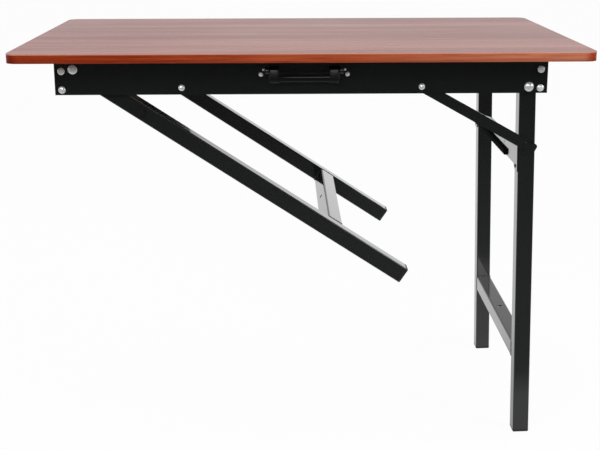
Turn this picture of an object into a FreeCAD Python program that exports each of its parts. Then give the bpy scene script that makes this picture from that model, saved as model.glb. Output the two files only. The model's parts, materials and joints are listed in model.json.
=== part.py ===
import FreeCAD, Part
import math
import operator
import os

import Sketcher

# Folding camping table with two U-shaped leg sets under one steel frame. The right set is
# down and held by its brace, the left set is half folded. Millimetres, +Z up, origin on the
# floor under the middle of the tabletop, front of the table towards -Y.

SIZES = {
    # tabletop
    "table_height": 740,
    "top_length": 1000,
    "top_depth": 600,
    "top_thickness": 16,
    "top_corner": 20,
    "laminate": 0.8,
    "backing": 0.5,
    "band": 1,
    # steel frame
    "end_overhang": 68,
    "rail_overhang": 72,
    "rail_height": 65,
    "rail_sheet": 1.5,
    "rail_flange": 24,
    "rail_bend": 2.5,
    "flange_gap": 1,
    "notch_gap": 0.3,
    "tab_length": 20,
    # corner rivets
    "rivet_inset": 12,
    "rivet_upper": 23,
    "rivet_lower": 56,
    "rivet_head": 12.6,
    "rivet_dome": 2.6,
    "rivet_shank": 4.8,
    "rivet_end": 1,
    # board screws
    "screw_shank": 4,
    "screw_length": 12,
    "screw_head": 8,
    "screw_head_height": 2.2,
    "screw_inset": 182,
    "screw_edge": 12,
    "pilot_gap": 0.1,
    # leg sets
    "pivot_inset": 32,
    "left_pivot_depth": 20,
    "right_pivot_depth": 54,
    "leg_inset": 9,
    "leg_size": 30,
    "leg_wall": 1.5,
    "leg_corner": 2.5,
    "leg_top": 8,
    "left_lean": 33.4,
    "leg_splay": 1.6,
    "cap_height": 5,
    "cap_edge": 1.2,
    "plug_height": 18,
    "plug_gap": 0.2,
    "plug_wall": 2,
    "stretcher_place": 160,
    "stretcher_height": 29,
    "stretcher_sheet": 2,
    "stretcher_bend": 3,
    "stretcher_hole": 9,
    # pivot bolts
    "bolt_shank": 10,
    "bolt_head": 16.8,
    "bolt_dome": 4,
    "bolt_play": 0.1,
    "bolt_end": 3,
    "washer_size": 20,
    "washer_sheet": 1.5,
    "nut_width": 16,
    "nut_height": 8,
    "side_play": 0.3,
    # braces
    "brace_run": 189,
    "brace_depth": 53,
    "brace_width": 19,
    "brace_sheet": 3,
    "brace_tip": 17,
    "brace_tip_corner": 5,
    "brace_stow": 8,
    "brace_rivet_head": 11.4,
    "brace_rivet_dome": 3,
    "brace_rivet_shank": 7,
    "brace_rivet_tail": 10,
    "brace_rivet_end": 1.1,
    "brace_spacer": 13,
    "brace_spacer_height": 2.2,
    "brace_play": 0.1,
    # lock pins
    "pin_drop": 106.8,
    "pin_size": 8,
    "pin_head": 13,
    "pin_head_height": 1.5,
    "pin_head_gap": 0.4,
    "slot_play": 1,
    # upper cross plate and buffer
    "plate_top": 104,
    "plate_bottom": 146,
    "plate_rear_top": 128,
    "plate_slope": 180,
    "plate_sheet": 2,
    "lug_width": 30,
    "lug_drop": 11,
    "lug_corner": 4,
    "plate_bolt_place": 148,
    "plate_bolt_head": 8,
    "plate_bolt_dome": 2.2,
    "plate_bolt_shank": 5,
    "plate_bolt_length": 8,
    "plate_hole": 4.5,
    "plate_hole_setback": 100,
    "plate_hole_first": 11,
    "plate_hole_pitch": 9,
    "buffer_height": 13,
    "buffer_thickness": 5,
    "buffer_setback": 82,
    "buffer_gap": 2,
    "buffer_round": 3,
    # carrying handle
    "handle_shift": 4,
    "handle_axis_depth": 22,
    "handle_axis_out": 10,
    "handle_drop": 14,
    "grip_length": 88,
    "grip_height": 13,
    "grip_thickness": 11.5,
    "grip_round": 5,
    "arm_width": 17.5,
    "arm_top": 6.2,
    "arm_bottom": 8.5,
    "arm_edge": 2,
    "trunnion_size": 7,
    "trunnion_length": 5.5,
    "trunnion_play": 0.1,
    "bracket_gap": 0.5,
    "bracket_width": 22,
    "bracket_top": 14.5,
    "bracket_bottom": 36,
    "bracket_sheet": 2,
    "bracket_corner": 5,
    "bracket_boss": 6.2,
    "bracket_ear": 5.8,
    "bracket_rivet_place": 75.8,
    "bracket_rivet_depth": 29.5,
    "bracket_rivet_head": 8,
    "bracket_rivet_dome": 1.9,
    "bracket_stud_place": 71.2,
    "bracket_stud_depth": 21.5,
    "bracket_stud_head": 4.6,
    "bracket_stud_dome": 1.1,
    "bracket_shank": 3.4,
    "bracket_tail": 1.6,
    # how far a cut runs past the face that it leaves
    "overrun": 2,
}

LABELS = []
AXES = {
    "x": FreeCAD.Vector(1, 0, 0),
    "y": FreeCAD.Vector(0, 1, 0),
    "z": FreeCAD.Vector(0, 0, 1),
    "-y": FreeCAD.Vector(0, -1, 0),
}


class Size:
    """A length or an angle that carries its number and the formula that binds it to the sheet."""

    def __init__(self, number, formula):
        self.number = number
        self.formula = formula

    def __add__(self, other):
        return joined(self, "+", other, operator.add)

    def __radd__(self, other):
        return joined(other, "+", self, operator.add)

    def __sub__(self, other):
        return joined(self, "-", other, operator.sub)

    def __rsub__(self, other):
        return joined(other, "-", self, operator.sub)

    def __mul__(self, other):
        return joined(self, "*", other, operator.mul)

    def __rmul__(self, other):
        return joined(other, "*", self, operator.mul)

    def __truediv__(self, other):
        return joined(self, "/", other, operator.truediv)

    def __neg__(self):
        return Size(-self.number, f"(0 - {self.formula})")


def sized(value):
    return value if isinstance(value, Size) else Size(value, f"({value})")


def joined(left, sign, right, work):
    left, right = sized(left), sized(right)
    return Size(work(left.number, right.number), f"({left.formula} {sign} {right.formula})")


def root(size):
    return Size(math.sqrt(size.number), f"sqrt({size.formula})")


def sine(size):
    return Size(math.sin(math.radians(size.number)), f"sin({size.formula} * 1deg)")


def cosine(size):
    return Size(math.cos(math.radians(size.number)), f"cos({size.formula} * 1deg)")


def angle_of_cosine(size):
    return Size(math.degrees(math.acos(size.number)), f"(acos({size.formula}) / 1deg)")


class Sheet:
    """The spreadsheet of driving sizes, each to be had by its alias."""

    def __init__(self, doc):
        cells = doc.addObject("Spreadsheet::Sheet", "Sizes")
        for row, (alias, number) in enumerate(SIZES.items(), 1):
            cells.set(f"A{row}", alias)
            cells.set(f"B{row}", str(number))
            cells.setAlias(f"B{row}", alias)
            setattr(self, alias, Size(number, f"Sizes.{alias}"))
        doc.recompute()


doc = FreeCAD.newDocument("folding_table")
s = Sheet(doc)

# Levels and faces that several pieces share
underside = s.table_height - s.top_thickness
rail_half = s.top_length / 2 - s.end_overhang
rail_face = s.top_depth / 2 - s.rail_overhang
rail_inner = rail_face - s.rail_sheet
leg_face = rail_face - s.leg_inset
leg_middle = leg_face - s.leg_size / 2
leg_inner = leg_face - s.leg_size
left_pivot = underside - s.left_pivot_depth
right_pivot = underside - s.right_pivot_depth
pivot_place = rail_half - s.pivot_inset
brace_place = pivot_place - s.brace_run
splay_sine, splay_cosine = sine(s.leg_splay), cosine(s.leg_splay)
brace_across = s.brace_run + s.pin_drop * splay_sine
brace_fall = s.pin_drop * splay_cosine + s.right_pivot_depth - s.brace_depth
brace_reach = root(brace_across * brace_across + brace_fall * brace_fall)
brace_angle = angle_of_cosine(brace_across / brace_reach)
brace_face = rail_inner - s.brace_spacer_height - s.brace_play


def bind(item, path, size):
    size = sized(size)
    if size.formula != "(0)":
        item.setExpression(path, size.formula)


def place(item, x=0, y=0, z=0, axis=None, angle=0):
    if axis:
        item.Placement = FreeCAD.Placement(FreeCAD.Vector(), FreeCAD.Rotation(AXES[axis], 1))
        bind(item, "Placement.Rotation.Angle", angle)
    for letter, size in (("x", x), ("y", y), ("z", z)):
        bind(item, f"Placement.Base.{letter}", size)
    return item


def node(item, label):
    item.Label = label
    LABELS.append(label)
    return item


# Solids of revolution and booleans


def rod(x, y, z, radius, length):
    """A cylinder from y towards the front, -Y."""
    item = doc.addObject("Part::Cylinder", "rod")
    bind(item, "Radius", radius)
    bind(item, "Height", length)
    return place(item, x, y, z, "x", 90)


def post(x, y, z, radius, length):
    """A cylinder from z upwards."""
    item = doc.addObject("Part::Cylinder", "post")
    bind(item, "Radius", radius)
    bind(item, "Height", length)
    return place(item, x, y, z)


def bar(x, y, z, radius, length):
    """A cylinder from x towards +X."""
    item = doc.addObject("Part::Cylinder", "bar")
    bind(item, "Radius", radius)
    bind(item, "Height", length)
    return place(item, x, y, z, "y", 90)


def ball(x, y, z, radius):
    item = doc.addObject("Part::Sphere", "ball")
    bind(item, "Radius", radius)
    return place(item, x, y, z)


def common(first, second):
    item = doc.addObject("Part::Common", "common")
    item.Base, item.Tool = first, second
    return item


def fused(*pieces):
    item = doc.addObject("Part::MultiFuse", "fused")
    item.Shapes = list(pieces)
    item.Refine = True
    return item


def drilled(base, tool):
    item = doc.addObject("Part::Cut", "drilled")
    item.Base, item.Tool = base, tool
    return item


def group(*pieces):
    item = doc.addObject("Part::Compound", "group")
    item.Links = list(pieces)
    return item


def mirrored(source, letter):
    item = doc.addObject("Part::Mirroring", "mirrored")
    item.Source = source
    item.Normal = AXES[letter]
    return item


def both_ends(source):
    return [source, mirrored(source, "x")]


def both_sides(source):
    return [source, mirrored(source, "y")]


def dome_radius(width, height):
    """Radius of the ball whose cap has this width and height."""
    return (width * width / 4 + height * height) / (height * 2)


def domed_rod(x, seat, z, width, height):
    """A round head that stands on the plane y = seat and looks to the front."""
    whole = dome_radius(width, height)
    return common(rod(x, seat, z, width / 2, height), ball(x, seat - height + whole, z, whole))


# Sketches and bodies


def body_of(label):
    body = doc.addObject("PartDesign::Body", label)
    return node(body, label)


def sketch_on(body, role, lift=0):
    sketch = body.newObject("Sketcher::SketchObject", "outline")
    plane = [item for item in body.Origin.OriginFeatures if item.Role == role][0]
    sketch.AttachmentSupport = [(plane, "")]
    sketch.MapMode = "FlatFace"
    bind(sketch, "AttachmentOffset.Base.z", lift)
    return sketch


def pin_down(sketch, geometry, point, x, y):
    for kind, size in (("DistanceX", x), ("DistanceY", y)):
        size = sized(size)
        row = sketch.addConstraint(Sketcher.Constraint(kind, -1, 1, geometry, point, size.number))
        bind(sketch, f"Constraints[{row}]", size)


def arc_between(start, end, radius):
    """The short arc from start to end, anticlockwise for a positive radius."""
    middle = (start + end) / 2
    half = (end - start) / 2
    reach = math.sqrt(max(radius * radius - half.Length * half.Length, 0))
    turn = math.copysign(1, radius)
    normal = FreeCAD.Vector(-half.y, half.x, 0).normalize()
    centre = middle + normal * reach * turn
    first, last = (start, end) if radius > 0 else (end, start)
    angles = [math.atan2(point.y - centre.y, point.x - centre.x) for point in (first, last)]
    if angles[1] < angles[0]:
        angles[1] += 2 * math.pi
    circle = Part.Circle(centre, AXES["z"], abs(radius))
    return Part.ArcOfCircle(circle, *angles)


def loop(sketch, corners):
    """A closed line of corners (x, y) or (x, y, radius), where the radius bends the edge that follows."""
    corners = [tuple(sized(value) for value in (*corner, 0)[:3]) for corner in corners]
    points = [FreeCAD.Vector(x.number, y.number, 0) for x, y, bend in corners]
    starts, ends = [], []
    for turn, (x, y, bend) in enumerate(corners):
        start, end = points[turn], points[(turn + 1) % len(points)]
        if bend.number:
            row = sketch.addGeometry(arc_between(start, end, bend.number))
            radius = sketch.addConstraint(Sketcher.Constraint("Radius", row, abs(bend.number)))
            bind(sketch, f"Constraints[{radius}]", bend if bend.number > 0 else -bend)
        else:
            row = sketch.addGeometry(Part.LineSegment(start, end))
        starts.append((row, 2 if bend.number < 0 else 1))
        ends.append((row, 1 if bend.number < 0 else 2))
    for turn, (x, y, bend) in enumerate(corners):
        pin_down(sketch, *starts[turn], x, y)
        sketch.addConstraint(Sketcher.Constraint("Coincident", *ends[turn - 1], *starts[turn]))
    return sketch


def hole(sketch, x, y, width):
    x, y, width = sized(x), sized(y), sized(width)
    centre = FreeCAD.Vector(x.number, y.number, 0)
    row = sketch.addGeometry(Part.Circle(centre, AXES["z"], width.number / 2))
    radius = sketch.addConstraint(Sketcher.Constraint("Radius", row, width.number / 2))
    bind(sketch, f"Constraints[{radius}]", width / 2)
    pin_down(sketch, row, 3, x, y)
    return sketch


def rounded(x, y, width, height, radius):
    """Corners of a rounded rectangle about the middle (x, y), anticlockwise."""
    right, up = width / 2, height / 2
    inner_right, inner_up = right - radius, up - radius
    return [
        (x + inner_right, y - up, radius),
        (x + right, y - inner_up),
        (x + right, y + inner_up, radius),
        (x + inner_right, y + up),
        (x - inner_right, y + up, radius),
        (x - right, y + inner_up),
        (x - right, y - inner_up, radius),
        (x - inner_right, y - up),
    ]


def rectangle(left, bottom, right, top):
    return [(left, bottom), (right, bottom), (right, top), (left, top)]


def pad(body, sketch, length, backwards=False):
    item = body.newObject("PartDesign::Pad", "pad")
    item.Profile = sketch
    item.Reversed = backwards
    bind(item, "Length", length)
    return item


def pocket(body, sketch, length=None):
    item = body.newObject("PartDesign::Pocket", "pocket")
    item.Profile = sketch
    if length is None:
        item.Type = 1
    else:
        bind(item, "Length", length)
    return item


def bevelled_edges(body, chosen, size):
    """Chamfers the edges of the newest feature that the test picks out."""
    doc.recompute()
    base = body.Tip
    edges = [f"Edge{row}" for row, edge in enumerate(base.Shape.Edges, 1) if chosen(edge)]
    item = body.newObject("PartDesign::Chamfer", "bevel")
    item.Base = (base, edges)
    bind(item, "Size", size)
    return item


# Tabletop: chipboard core between two laminates, with a glued band round the edge


def screw_places():
    """Middles of the board screws: two along each long rail and one in each end rail."""
    along, row = rail_half - s.screw_inset, rail_face - s.screw_edge
    corners = [(along * across, row * deep) for across in (1, -1) for deep in (1, -1)]
    return [*corners, (rail_half - s.screw_edge, 0), (s.screw_edge - rail_half, 0)]


def board_layer(label, bottom, thickness, drilled_through=None):
    body = body_of(label)
    inset = s.band * 2
    outline = rounded(0, 0, s.top_length - inset, s.top_depth - inset, s.top_corner - s.band)
    pad(body, loop(sketch_on(body, "XY_Plane"), outline), thickness)
    if drilled_through is not None:
        drills = sketch_on(body, "XY_Plane", drilled_through)
        for x, y in screw_places():
            hole(drills, x, y, s.screw_shank + s.pilot_gap)
        pocket(body, drills, drilled_through)
    place(body, z=bottom)


def tabletop():
    pilot = s.screw_length - s.rail_sheet + s.overrun
    board_layer("underside_laminate", underside, s.backing, s.backing)
    core = s.top_thickness - s.laminate - s.backing
    board_layer("tabletop_core", underside + s.backing, core, pilot - s.backing)
    board_layer("top_laminate", s.table_height - s.laminate, s.laminate)
    body = body_of("edge_band")
    sketch = loop(sketch_on(body, "XY_Plane"), rounded(0, 0, s.top_length, s.top_depth, s.top_corner))
    inset = s.band * 2
    loop(sketch, rounded(0, 0, s.top_length - inset, s.top_depth - inset, s.top_corner - s.band))
    pad(body, sketch, s.top_thickness)
    place(body, z=underside)


# Steel frame: two folded long rails, two end rails with tabs, rivets and board screws


def angle_profile(sheet, flange, height, bend):
    """Folded angle seen from its end: web at the left, flange along the top."""
    inner = bend - sheet
    return [
        (0, -height),
        (sheet, -height),
        (sheet, -bend, -inner),
        (bend, -sheet),
        (flange, -sheet),
        (flange, 0),
        (bend, 0, bend),
        (0, -bend),
    ]


def long_rail(label, front):
    body = body_of(label)
    angle = angle_profile(s.rail_sheet, s.rail_flange, s.rail_height, s.rail_bend)
    pad(body, loop(sketch_on(body, "YZ_Plane", -rail_half), angle), rail_half * 2)
    relief = s.rail_sheet + s.notch_gap
    ends = sketch_on(body, "XY_Plane")
    for side in (1, -1):
        outer, inner = (rail_half + s.overrun) * side, (rail_half - relief) * side
        left, right = (inner, outer) if side > 0 else (outer, inner)
        loop(ends, rectangle(left, s.rail_sheet, right, s.rail_flange + s.overrun))
    pocket(body, ends)
    flange_holes = sketch_on(body, "XY_Plane")
    for side in (1, -1):
        hole(flange_holes, (rail_half - s.screw_inset) * side, s.screw_edge, s.screw_shank + s.pilot_gap)
    pocket(body, flange_holes, s.rail_sheet)
    web_holes = sketch_on(body, "XZ_Plane")
    for side, pivot_depth in ((-1, s.left_pivot_depth), (1, s.right_pivot_depth)):
        for depth in (s.rivet_upper, s.rivet_lower):
            hole(web_holes, (rail_half - s.rivet_inset) * side, -depth, s.rivet_shank)
        pivot_side = side if front else -side
        hole(web_holes, pivot_place * pivot_side, -pivot_depth, s.bolt_shank)
        if front:
            hole(web_holes, brace_place * side, -s.brace_depth, s.brace_rivet_shank)
            for x, depth in bracket_holes():
                hole(web_holes, s.handle_shift + x * side, -depth, s.bracket_shank)
    pocket(body, web_holes, s.rail_sheet)
    if front:
        place(body, y=-rail_face, z=underside)
    else:
        place(body, y=rail_face, z=underside, axis="z", angle=180)


def end_rail(label, side):
    """Cross rail whose tabs lie behind the long rails, built for the right end."""
    body = body_of(label)
    half, sheet, bend = rail_inner, s.rail_sheet, s.rail_bend
    inner = bend - sheet
    channel = [
        (-s.tab_length, -half),
        (-bend, -half, bend),
        (0, -half + bend),
        (0, half - bend, bend),
        (-bend, half),
        (-s.tab_length, half),
        (-s.tab_length, half - sheet),
        (-bend, half - sheet, -inner),
        (-sheet, half - bend),
        (-sheet, -half + bend, -inner),
        (-bend, -half + sheet),
        (-s.tab_length, -half + sheet),
    ]
    under_flange = bend + s.notch_gap
    pad(body, loop(sketch_on(body, "XY_Plane", -s.rail_height), channel), s.rail_height - under_flange)
    reach = rail_face - s.rail_flange - s.flange_gap
    hook = [
        (-s.rail_flange, -sheet),
        (-sheet, -sheet),
        (-sheet, -under_flange - sheet),
        (0, -under_flange - sheet),
        (0, 0),
        (-s.rail_flange, 0),
    ]
    pad(body, loop(sketch_on(body, "XZ_Plane", -reach), hook), reach * 2)
    tab_holes = sketch_on(body, "XZ_Plane", half)
    for depth in (s.rivet_upper, s.rivet_lower):
        hole(tab_holes, -s.rivet_inset, -depth, s.rivet_shank)
    pocket(body, tab_holes)
    flange_holes = sketch_on(body, "XY_Plane")
    hole(flange_holes, -s.screw_edge, 0, s.screw_shank + s.pilot_gap)
    pocket(body, flange_holes, s.rail_sheet)
    if side > 0:
        place(body, x=rail_half, z=underside)
    else:
        place(body, x=-rail_half, z=underside, axis="z", angle=180)


def corner_rivets():
    x = rail_half - s.rivet_inset
    end = rail_inner - s.rail_sheet - s.rivet_end
    pieces = []
    for depth in (s.rivet_upper, s.rivet_lower):
        z = underside - depth
        head = domed_rod(x, -rail_face, z, s.rivet_head, s.rivet_dome)
        rivet = fused(head, rod(x, -end, z, s.rivet_shank / 2, rail_face - end))
        for one in both_ends(rivet):
            pieces += both_sides(one)
    node(group(*pieces), "corner_rivets")


def board_screws():
    seat = underside - s.rail_sheet
    pieces = []
    for x, y in screw_places():
        head = post(x, y, seat - s.screw_head_height, s.screw_head / 2, s.screw_head_height)
        pieces.append(fused(head, post(x, y, seat, s.screw_shank / 2, s.screw_length)))
    node(group(*pieces), "board_screws")


# Pivots: one bolt, spacer, washer and nut to each leg


def pivot_hardware():
    bolts, spacers, washers, nuts = [], [], [], []
    for x, z in ((-pivot_place, left_pivot), (pivot_place, right_pivot)):
        washer_start = leg_inner - s.side_play
        nut_start = washer_start - s.washer_sheet
        bolt_tip = nut_start - s.nut_height - s.bolt_end
        head = domed_rod(x, -rail_face, z, s.bolt_head, s.bolt_dome)
        shank = rod(x, -bolt_tip, z, s.bolt_shank / 2, rail_face - bolt_tip)
        bolts += both_sides(fused(head, shank))
        spacer_length = rail_inner - leg_face - s.side_play
        spacer = rod(x, -rail_inner + spacer_length, z, s.bolt_head / 2, spacer_length)
        spacers += both_sides(drilled(spacer, rod(x, -leg_face, z, s.bolt_shank / 2, s.leg_inset)))
        washer = rod(x, -nut_start, z, s.washer_size / 2, s.washer_sheet)
        washers += both_sides(drilled(washer, rod(x, -nut_start, z, s.bolt_shank / 2, s.washer_sheet)))
        nut = doc.addObject("Part::Prism", "nut")
        nut.Polygon = 6
        bind(nut, "Circumradius", s.nut_width / math.sqrt(3))
        bind(nut, "Height", s.nut_height)
        place(nut, x, -nut_start + s.nut_height, z, "x", 90)
        bore = rod(x, -nut_start + s.nut_height, z, s.bolt_shank / 2, s.nut_height)
        nuts += both_sides(drilled(nut, bore))
    node(group(*bolts), "leg_pivot_bolts")
    node(group(*spacers), "leg_pivot_spacers")
    node(group(*washers), "leg_pivot_washers")
    node(group(*nuts), "leg_pivot_nuts")


# Leg sets, each drawn hanging straight down from its pivot axis


def set_place(body, side):
    if side > 0:
        return place(body, x=pivot_place, z=right_pivot, axis="-y", angle=s.leg_splay)
    return place(body, x=-pivot_place, z=left_pivot, axis="-y", angle=90 - s.left_lean)


def foot_drop(side):
    """Length from the pivot to the sole, whose inner edge meets the floor when the leg is splayed."""
    pivot = right_pivot if side > 0 else left_pivot
    return (pivot - (s.leg_size / 2 - s.cap_edge) * splay_sine) / splay_cosine


def square(y, width):
    """Corners of a square section about x = 0."""
    return rectangle(-width / 2, y - width / 2, width / 2, y + width / 2)


def leg(label, side, front):
    body = body_of(label)
    y = -leg_middle if front else leg_middle
    tube = sketch_on(body, "XY_Plane", s.leg_top)
    loop(tube, rounded(0, y, s.leg_size, s.leg_size, s.leg_corner))
    loop(tube, square(y, s.leg_size - s.leg_wall * 2))
    pad(body, tube, foot_drop(side) - s.cap_height + s.leg_top, backwards=True)
    pocket(body, hole(sketch_on(body, "XZ_Plane", leg_face), 0, 0, s.bolt_shank + s.bolt_play))
    if front:
        pin = hole(sketch_on(body, "XZ_Plane", leg_face), 0, -pin_drop(side), s.pin_size)
        pocket(body, pin, s.leg_wall)
    if side > 0:
        wall = sketch_on(body, "YZ_Plane", -s.leg_size / 2 + s.leg_wall)
        pocket(body, hole(wall, y, -s.plate_bolt_place, s.plate_bolt_shank), s.leg_wall)
    set_place(body, side)


def foot_cap(label, side, front):
    body = body_of(label)
    y = -leg_middle if front else leg_middle
    bottom = -foot_drop(side)
    shoe = loop(sketch_on(body, "XY_Plane", bottom), rounded(0, y, s.leg_size, s.leg_size, s.leg_corner))
    pad(body, shoe, s.cap_height)
    bevelled_edges(body, lambda edge: lies_at(edge, bottom), s.cap_edge)
    plug = s.leg_size - s.leg_wall * 2 - s.plug_gap * 2
    wall = loop(sketch_on(body, "XY_Plane", bottom + s.cap_height), square(y, plug))
    pad(body, loop(wall, square(y, plug - s.plug_wall * 2)), s.plug_height)
    set_place(body, side)


def lies_at(edge, level):
    return all(abs(vertex.Z - level.number) < Part.Precision.confusion() for vertex in edge.Vertexes)


def stretcher(label, side):
    body = body_of(label)
    half, sheet, bend = s.leg_size / 2, s.stretcher_sheet, s.stretcher_bend
    top = -foot_drop(side) + s.stretcher_place + s.stretcher_height / 2
    bottom = top - s.stretcher_height
    inner = bend - sheet
    channel = [
        (half, bottom),
        (half, top - bend, bend),
        (half - bend, top),
        (-half + bend, top, bend),
        (-half, top - bend),
        (-half, bottom),
        (-half + sheet, bottom),
        (-half + sheet, top - bend, -inner),
        (-half + bend, top - sheet),
        (half - bend, top - sheet, -inner),
        (half - sheet, top - bend),
        (half - sheet, bottom),
    ]
    pad(body, loop(sketch_on(body, "XZ_Plane", -leg_inner), channel), leg_inner * 2)
    pocket(body, hole(sketch_on(body, "XY_Plane", top), 0, 0, s.stretcher_hole), s.stretcher_sheet)
    set_place(body, side)


def pin_drop(side):
    """Distance of the lock pin below the leg's pivot, where the same brace meets it on either side."""
    if side > 0:
        return s.pin_drop
    rise = s.brace_depth - s.left_pivot_depth
    half = rise * splay_cosine - s.brace_run * splay_sine
    rest = brace_reach * brace_reach - s.brace_run * s.brace_run - rise * rise
    return half + root(half * half + rest)


def lock_pin(label, side):
    """Headed stud welded in the outer wall of the front leg, which the brace hooks on to."""
    z = -pin_drop(side)
    inside = -leg_face + s.leg_wall
    head_back = -brace_face - s.pin_head_gap + s.brace_play
    head = rod(0, head_back, z, s.pin_head / 2, s.pin_head_height)
    shank = rod(0, inside, z, s.pin_size / 2, inside - head_back)
    set_place(node(fused(head, shank), label), side)


def cross_plate():
    body = body_of("right_cross_plate")
    left = -s.leg_size / 2 - s.plate_sheet
    inner = leg_face - s.lug_width
    lug = s.plate_bottom + s.lug_drop
    outline = [
        (leg_face, -lug + s.lug_corner),
        (leg_face, -s.plate_rear_top),
        (leg_face - s.plate_slope, -s.plate_top),
        (-leg_face, -s.plate_top),
        (-leg_face, -lug + s.lug_corner, s.lug_corner),
        (-leg_face + s.lug_corner, -lug),
        (-inner - s.lug_drop, -lug),
        (-inner, -s.plate_bottom),
        (inner, -s.plate_bottom),
        (inner + s.lug_drop, -lug),
        (leg_face - s.lug_corner, -lug, s.lug_corner),
    ]
    pad(body, loop(sketch_on(body, "YZ_Plane", left), outline), s.plate_sheet)
    holes = sketch_on(body, "YZ_Plane", left + s.plate_sheet)
    for side in (1, -1):
        hole(holes, leg_middle * side, -s.plate_bolt_place, s.plate_bolt_shank)
    for step in (0, 1):
        level = s.plate_top + s.plate_hole_first + s.plate_hole_pitch * step
        hole(holes, s.plate_hole_setback - leg_middle, -level, s.plate_hole)
    pocket(body, holes, s.plate_sheet)
    set_place(body, 1)


def plate_bolts():
    seat = -s.leg_size / 2 - s.plate_sheet
    whole = dome_radius(s.plate_bolt_head, s.plate_bolt_dome)
    start = seat - s.plate_bolt_dome
    pieces = []
    for y in (-leg_middle, leg_middle):
        z = -s.plate_bolt_place
        disc = bar(start, y, z, s.plate_bolt_head / 2, s.plate_bolt_dome)
        shank = bar(seat, y, z, s.plate_bolt_shank / 2, s.plate_bolt_length)
        pieces.append(fused(common(disc, ball(start + whole, y, z, whole)), shank))
    set_place(node(group(*pieces), "right_plate_bolts"), 1)


def buffer_strip():
    body = body_of("right_buffer_strip")
    back = -s.leg_size / 2 - s.plate_sheet
    front = back - s.buffer_thickness
    bottom, top = -s.plate_bottom, -s.plate_bottom + s.buffer_height
    profile = [
        (back, bottom),
        (back, top),
        (front + s.buffer_round, top, s.buffer_round),
        (front, top - s.buffer_round),
        (front, bottom + s.buffer_round, s.buffer_round),
        (front + s.buffer_round, bottom),
    ]
    rear_end = leg_middle - s.plate_bolt_head / 2 - s.buffer_gap
    sketch = loop(sketch_on(body, "XZ_Plane", -rear_end), profile)
    pad(body, sketch, rear_end + leg_middle - s.buffer_setback)
    set_place(body, 1)


def leg_set(name, side):
    for place_name, front in (("front", True), ("rear", False)):
        leg(f"{name}_{place_name}_leg", side, front)
        foot_cap(f"{name}_{place_name}_foot_cap", side, front)
    stretcher(f"{name}_lower_stretcher", side)
    lock_pin(f"{name}_lock_pin", side)


# Braces: flat bars riveted behind the front rail, with a slot that takes the lock pin


def brace(label, side):
    """The bar lies along +X from its rivet. The slot opens up (side 1) or down (side -1)."""
    body = body_of(label)
    half, tip = s.brace_width / 2, brace_reach + s.brace_tip
    corner = s.brace_tip_corner
    slot = s.pin_size / 2 + s.slot_play
    outline = [
        (0, -half),
        (tip - corner, -half, corner),
        (tip, -half + corner),
        (tip, half - corner, corner),
        (tip - corner, half),
        (brace_reach + slot, half),
        (brace_reach + slot, 0, -slot),
        (brace_reach, -slot, -slot),
        (brace_reach - slot, 0),
        (brace_reach - slot, half),
        (0, half, half),
        (-half, 0, half),
    ]
    if side < 0:
        outline = turned_over(outline)
    sketch = loop(sketch_on(body, "XZ_Plane", brace_face - s.brace_sheet), outline)
    hole(sketch, 0, 0, s.brace_rivet_shank + s.brace_play)
    pad(body, sketch, s.brace_sheet)
    if side > 0:
        place(body, x=brace_place, z=underside - s.brace_depth, axis="y", angle=brace_angle)
    else:
        place(body, x=-brace_place, z=underside - s.brace_depth, axis="-y", angle=s.brace_stow)


def turned_over(outline):
    """The same outline upside down, still anticlockwise."""
    corners = [(corner[0], -corner[1]) for corner in outline]
    bends = [corner[2] if len(corner) > 2 else 0 for corner in outline]
    count = len(corners)
    return [(*corners[row], bends[row - 1]) for row in range(count - 1, -1, -1)]


def brace_rivets():
    rivets, rings = [], []
    z = underside - s.brace_depth
    for x in (-brace_place, brace_place):
        back = brace_face - s.brace_sheet - s.brace_play
        head = domed_rod(x, -rail_face, z, s.brace_rivet_head, s.brace_rivet_dome)
        shank = rod(x, -back, z, s.brace_rivet_shank / 2, rail_face - back)
        tail = rod(x, -back + s.brace_rivet_end, z, s.brace_rivet_tail / 2, s.brace_rivet_end)
        rivets.append(fused(head, shank, tail))
        ring_back = -rail_inner + s.brace_spacer_height
        ring = rod(x, ring_back, z, s.brace_spacer / 2, s.brace_spacer_height)
        rings.append(drilled(ring, rod(x, ring_back, z, s.brace_rivet_shank / 2, s.brace_spacer_height)))
    node(group(*rivets), "brace_rivets")
    node(group(*rings), "brace_spacers")


# Carrying handle: a moulded grip with two arms, hung by its trunnions between two brackets


def bracket_holes():
    return [(s.bracket_rivet_place, s.bracket_rivet_depth), (s.bracket_stud_place, s.bracket_stud_depth)]


def carry_handle():
    body = body_of("carry_handle")
    half = s.grip_length / 2
    top, bottom, low = s.arm_top, s.arm_bottom, -s.handle_drop
    section = rounded(0, low, s.grip_thickness, s.grip_height, s.grip_round)
    pad(body, loop(sketch_on(body, "YZ_Plane", -half), section), s.grip_length)
    rise = (bottom - top) / s.handle_drop
    run = root(1 - rise * rise)
    profile = [
        (top * run, top * rise, top),
        (-top * run, top * rise),
        (-bottom * run, low + bottom * rise, bottom),
        (0, low - bottom, bottom),
        (bottom * run, low + bottom * rise),
    ]
    reach = half + s.arm_width
    for start in (half, -reach):
        pad(body, loop(sketch_on(body, "YZ_Plane", start), profile), s.arm_width)
    bevelled_edges(body, is_arm_rim, s.arm_edge)
    for start in (reach, -reach - s.trunnion_length):
        trunnion = hole(sketch_on(body, "YZ_Plane", start), 0, 0, s.trunnion_size)
        pad(body, trunnion, s.trunnion_length)
    place(body, x=s.handle_shift, y=-rail_face - s.handle_axis_out, z=underside - s.handle_axis_depth)


def is_arm_rim(edge):
    """True for the outer edges of the arms' outer faces."""
    reach = (s.grip_length / 2 + s.arm_width).number
    return all(abs(abs(vertex.X) - reach) < Part.Precision.confusion() for vertex in edge.Vertexes)


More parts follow.
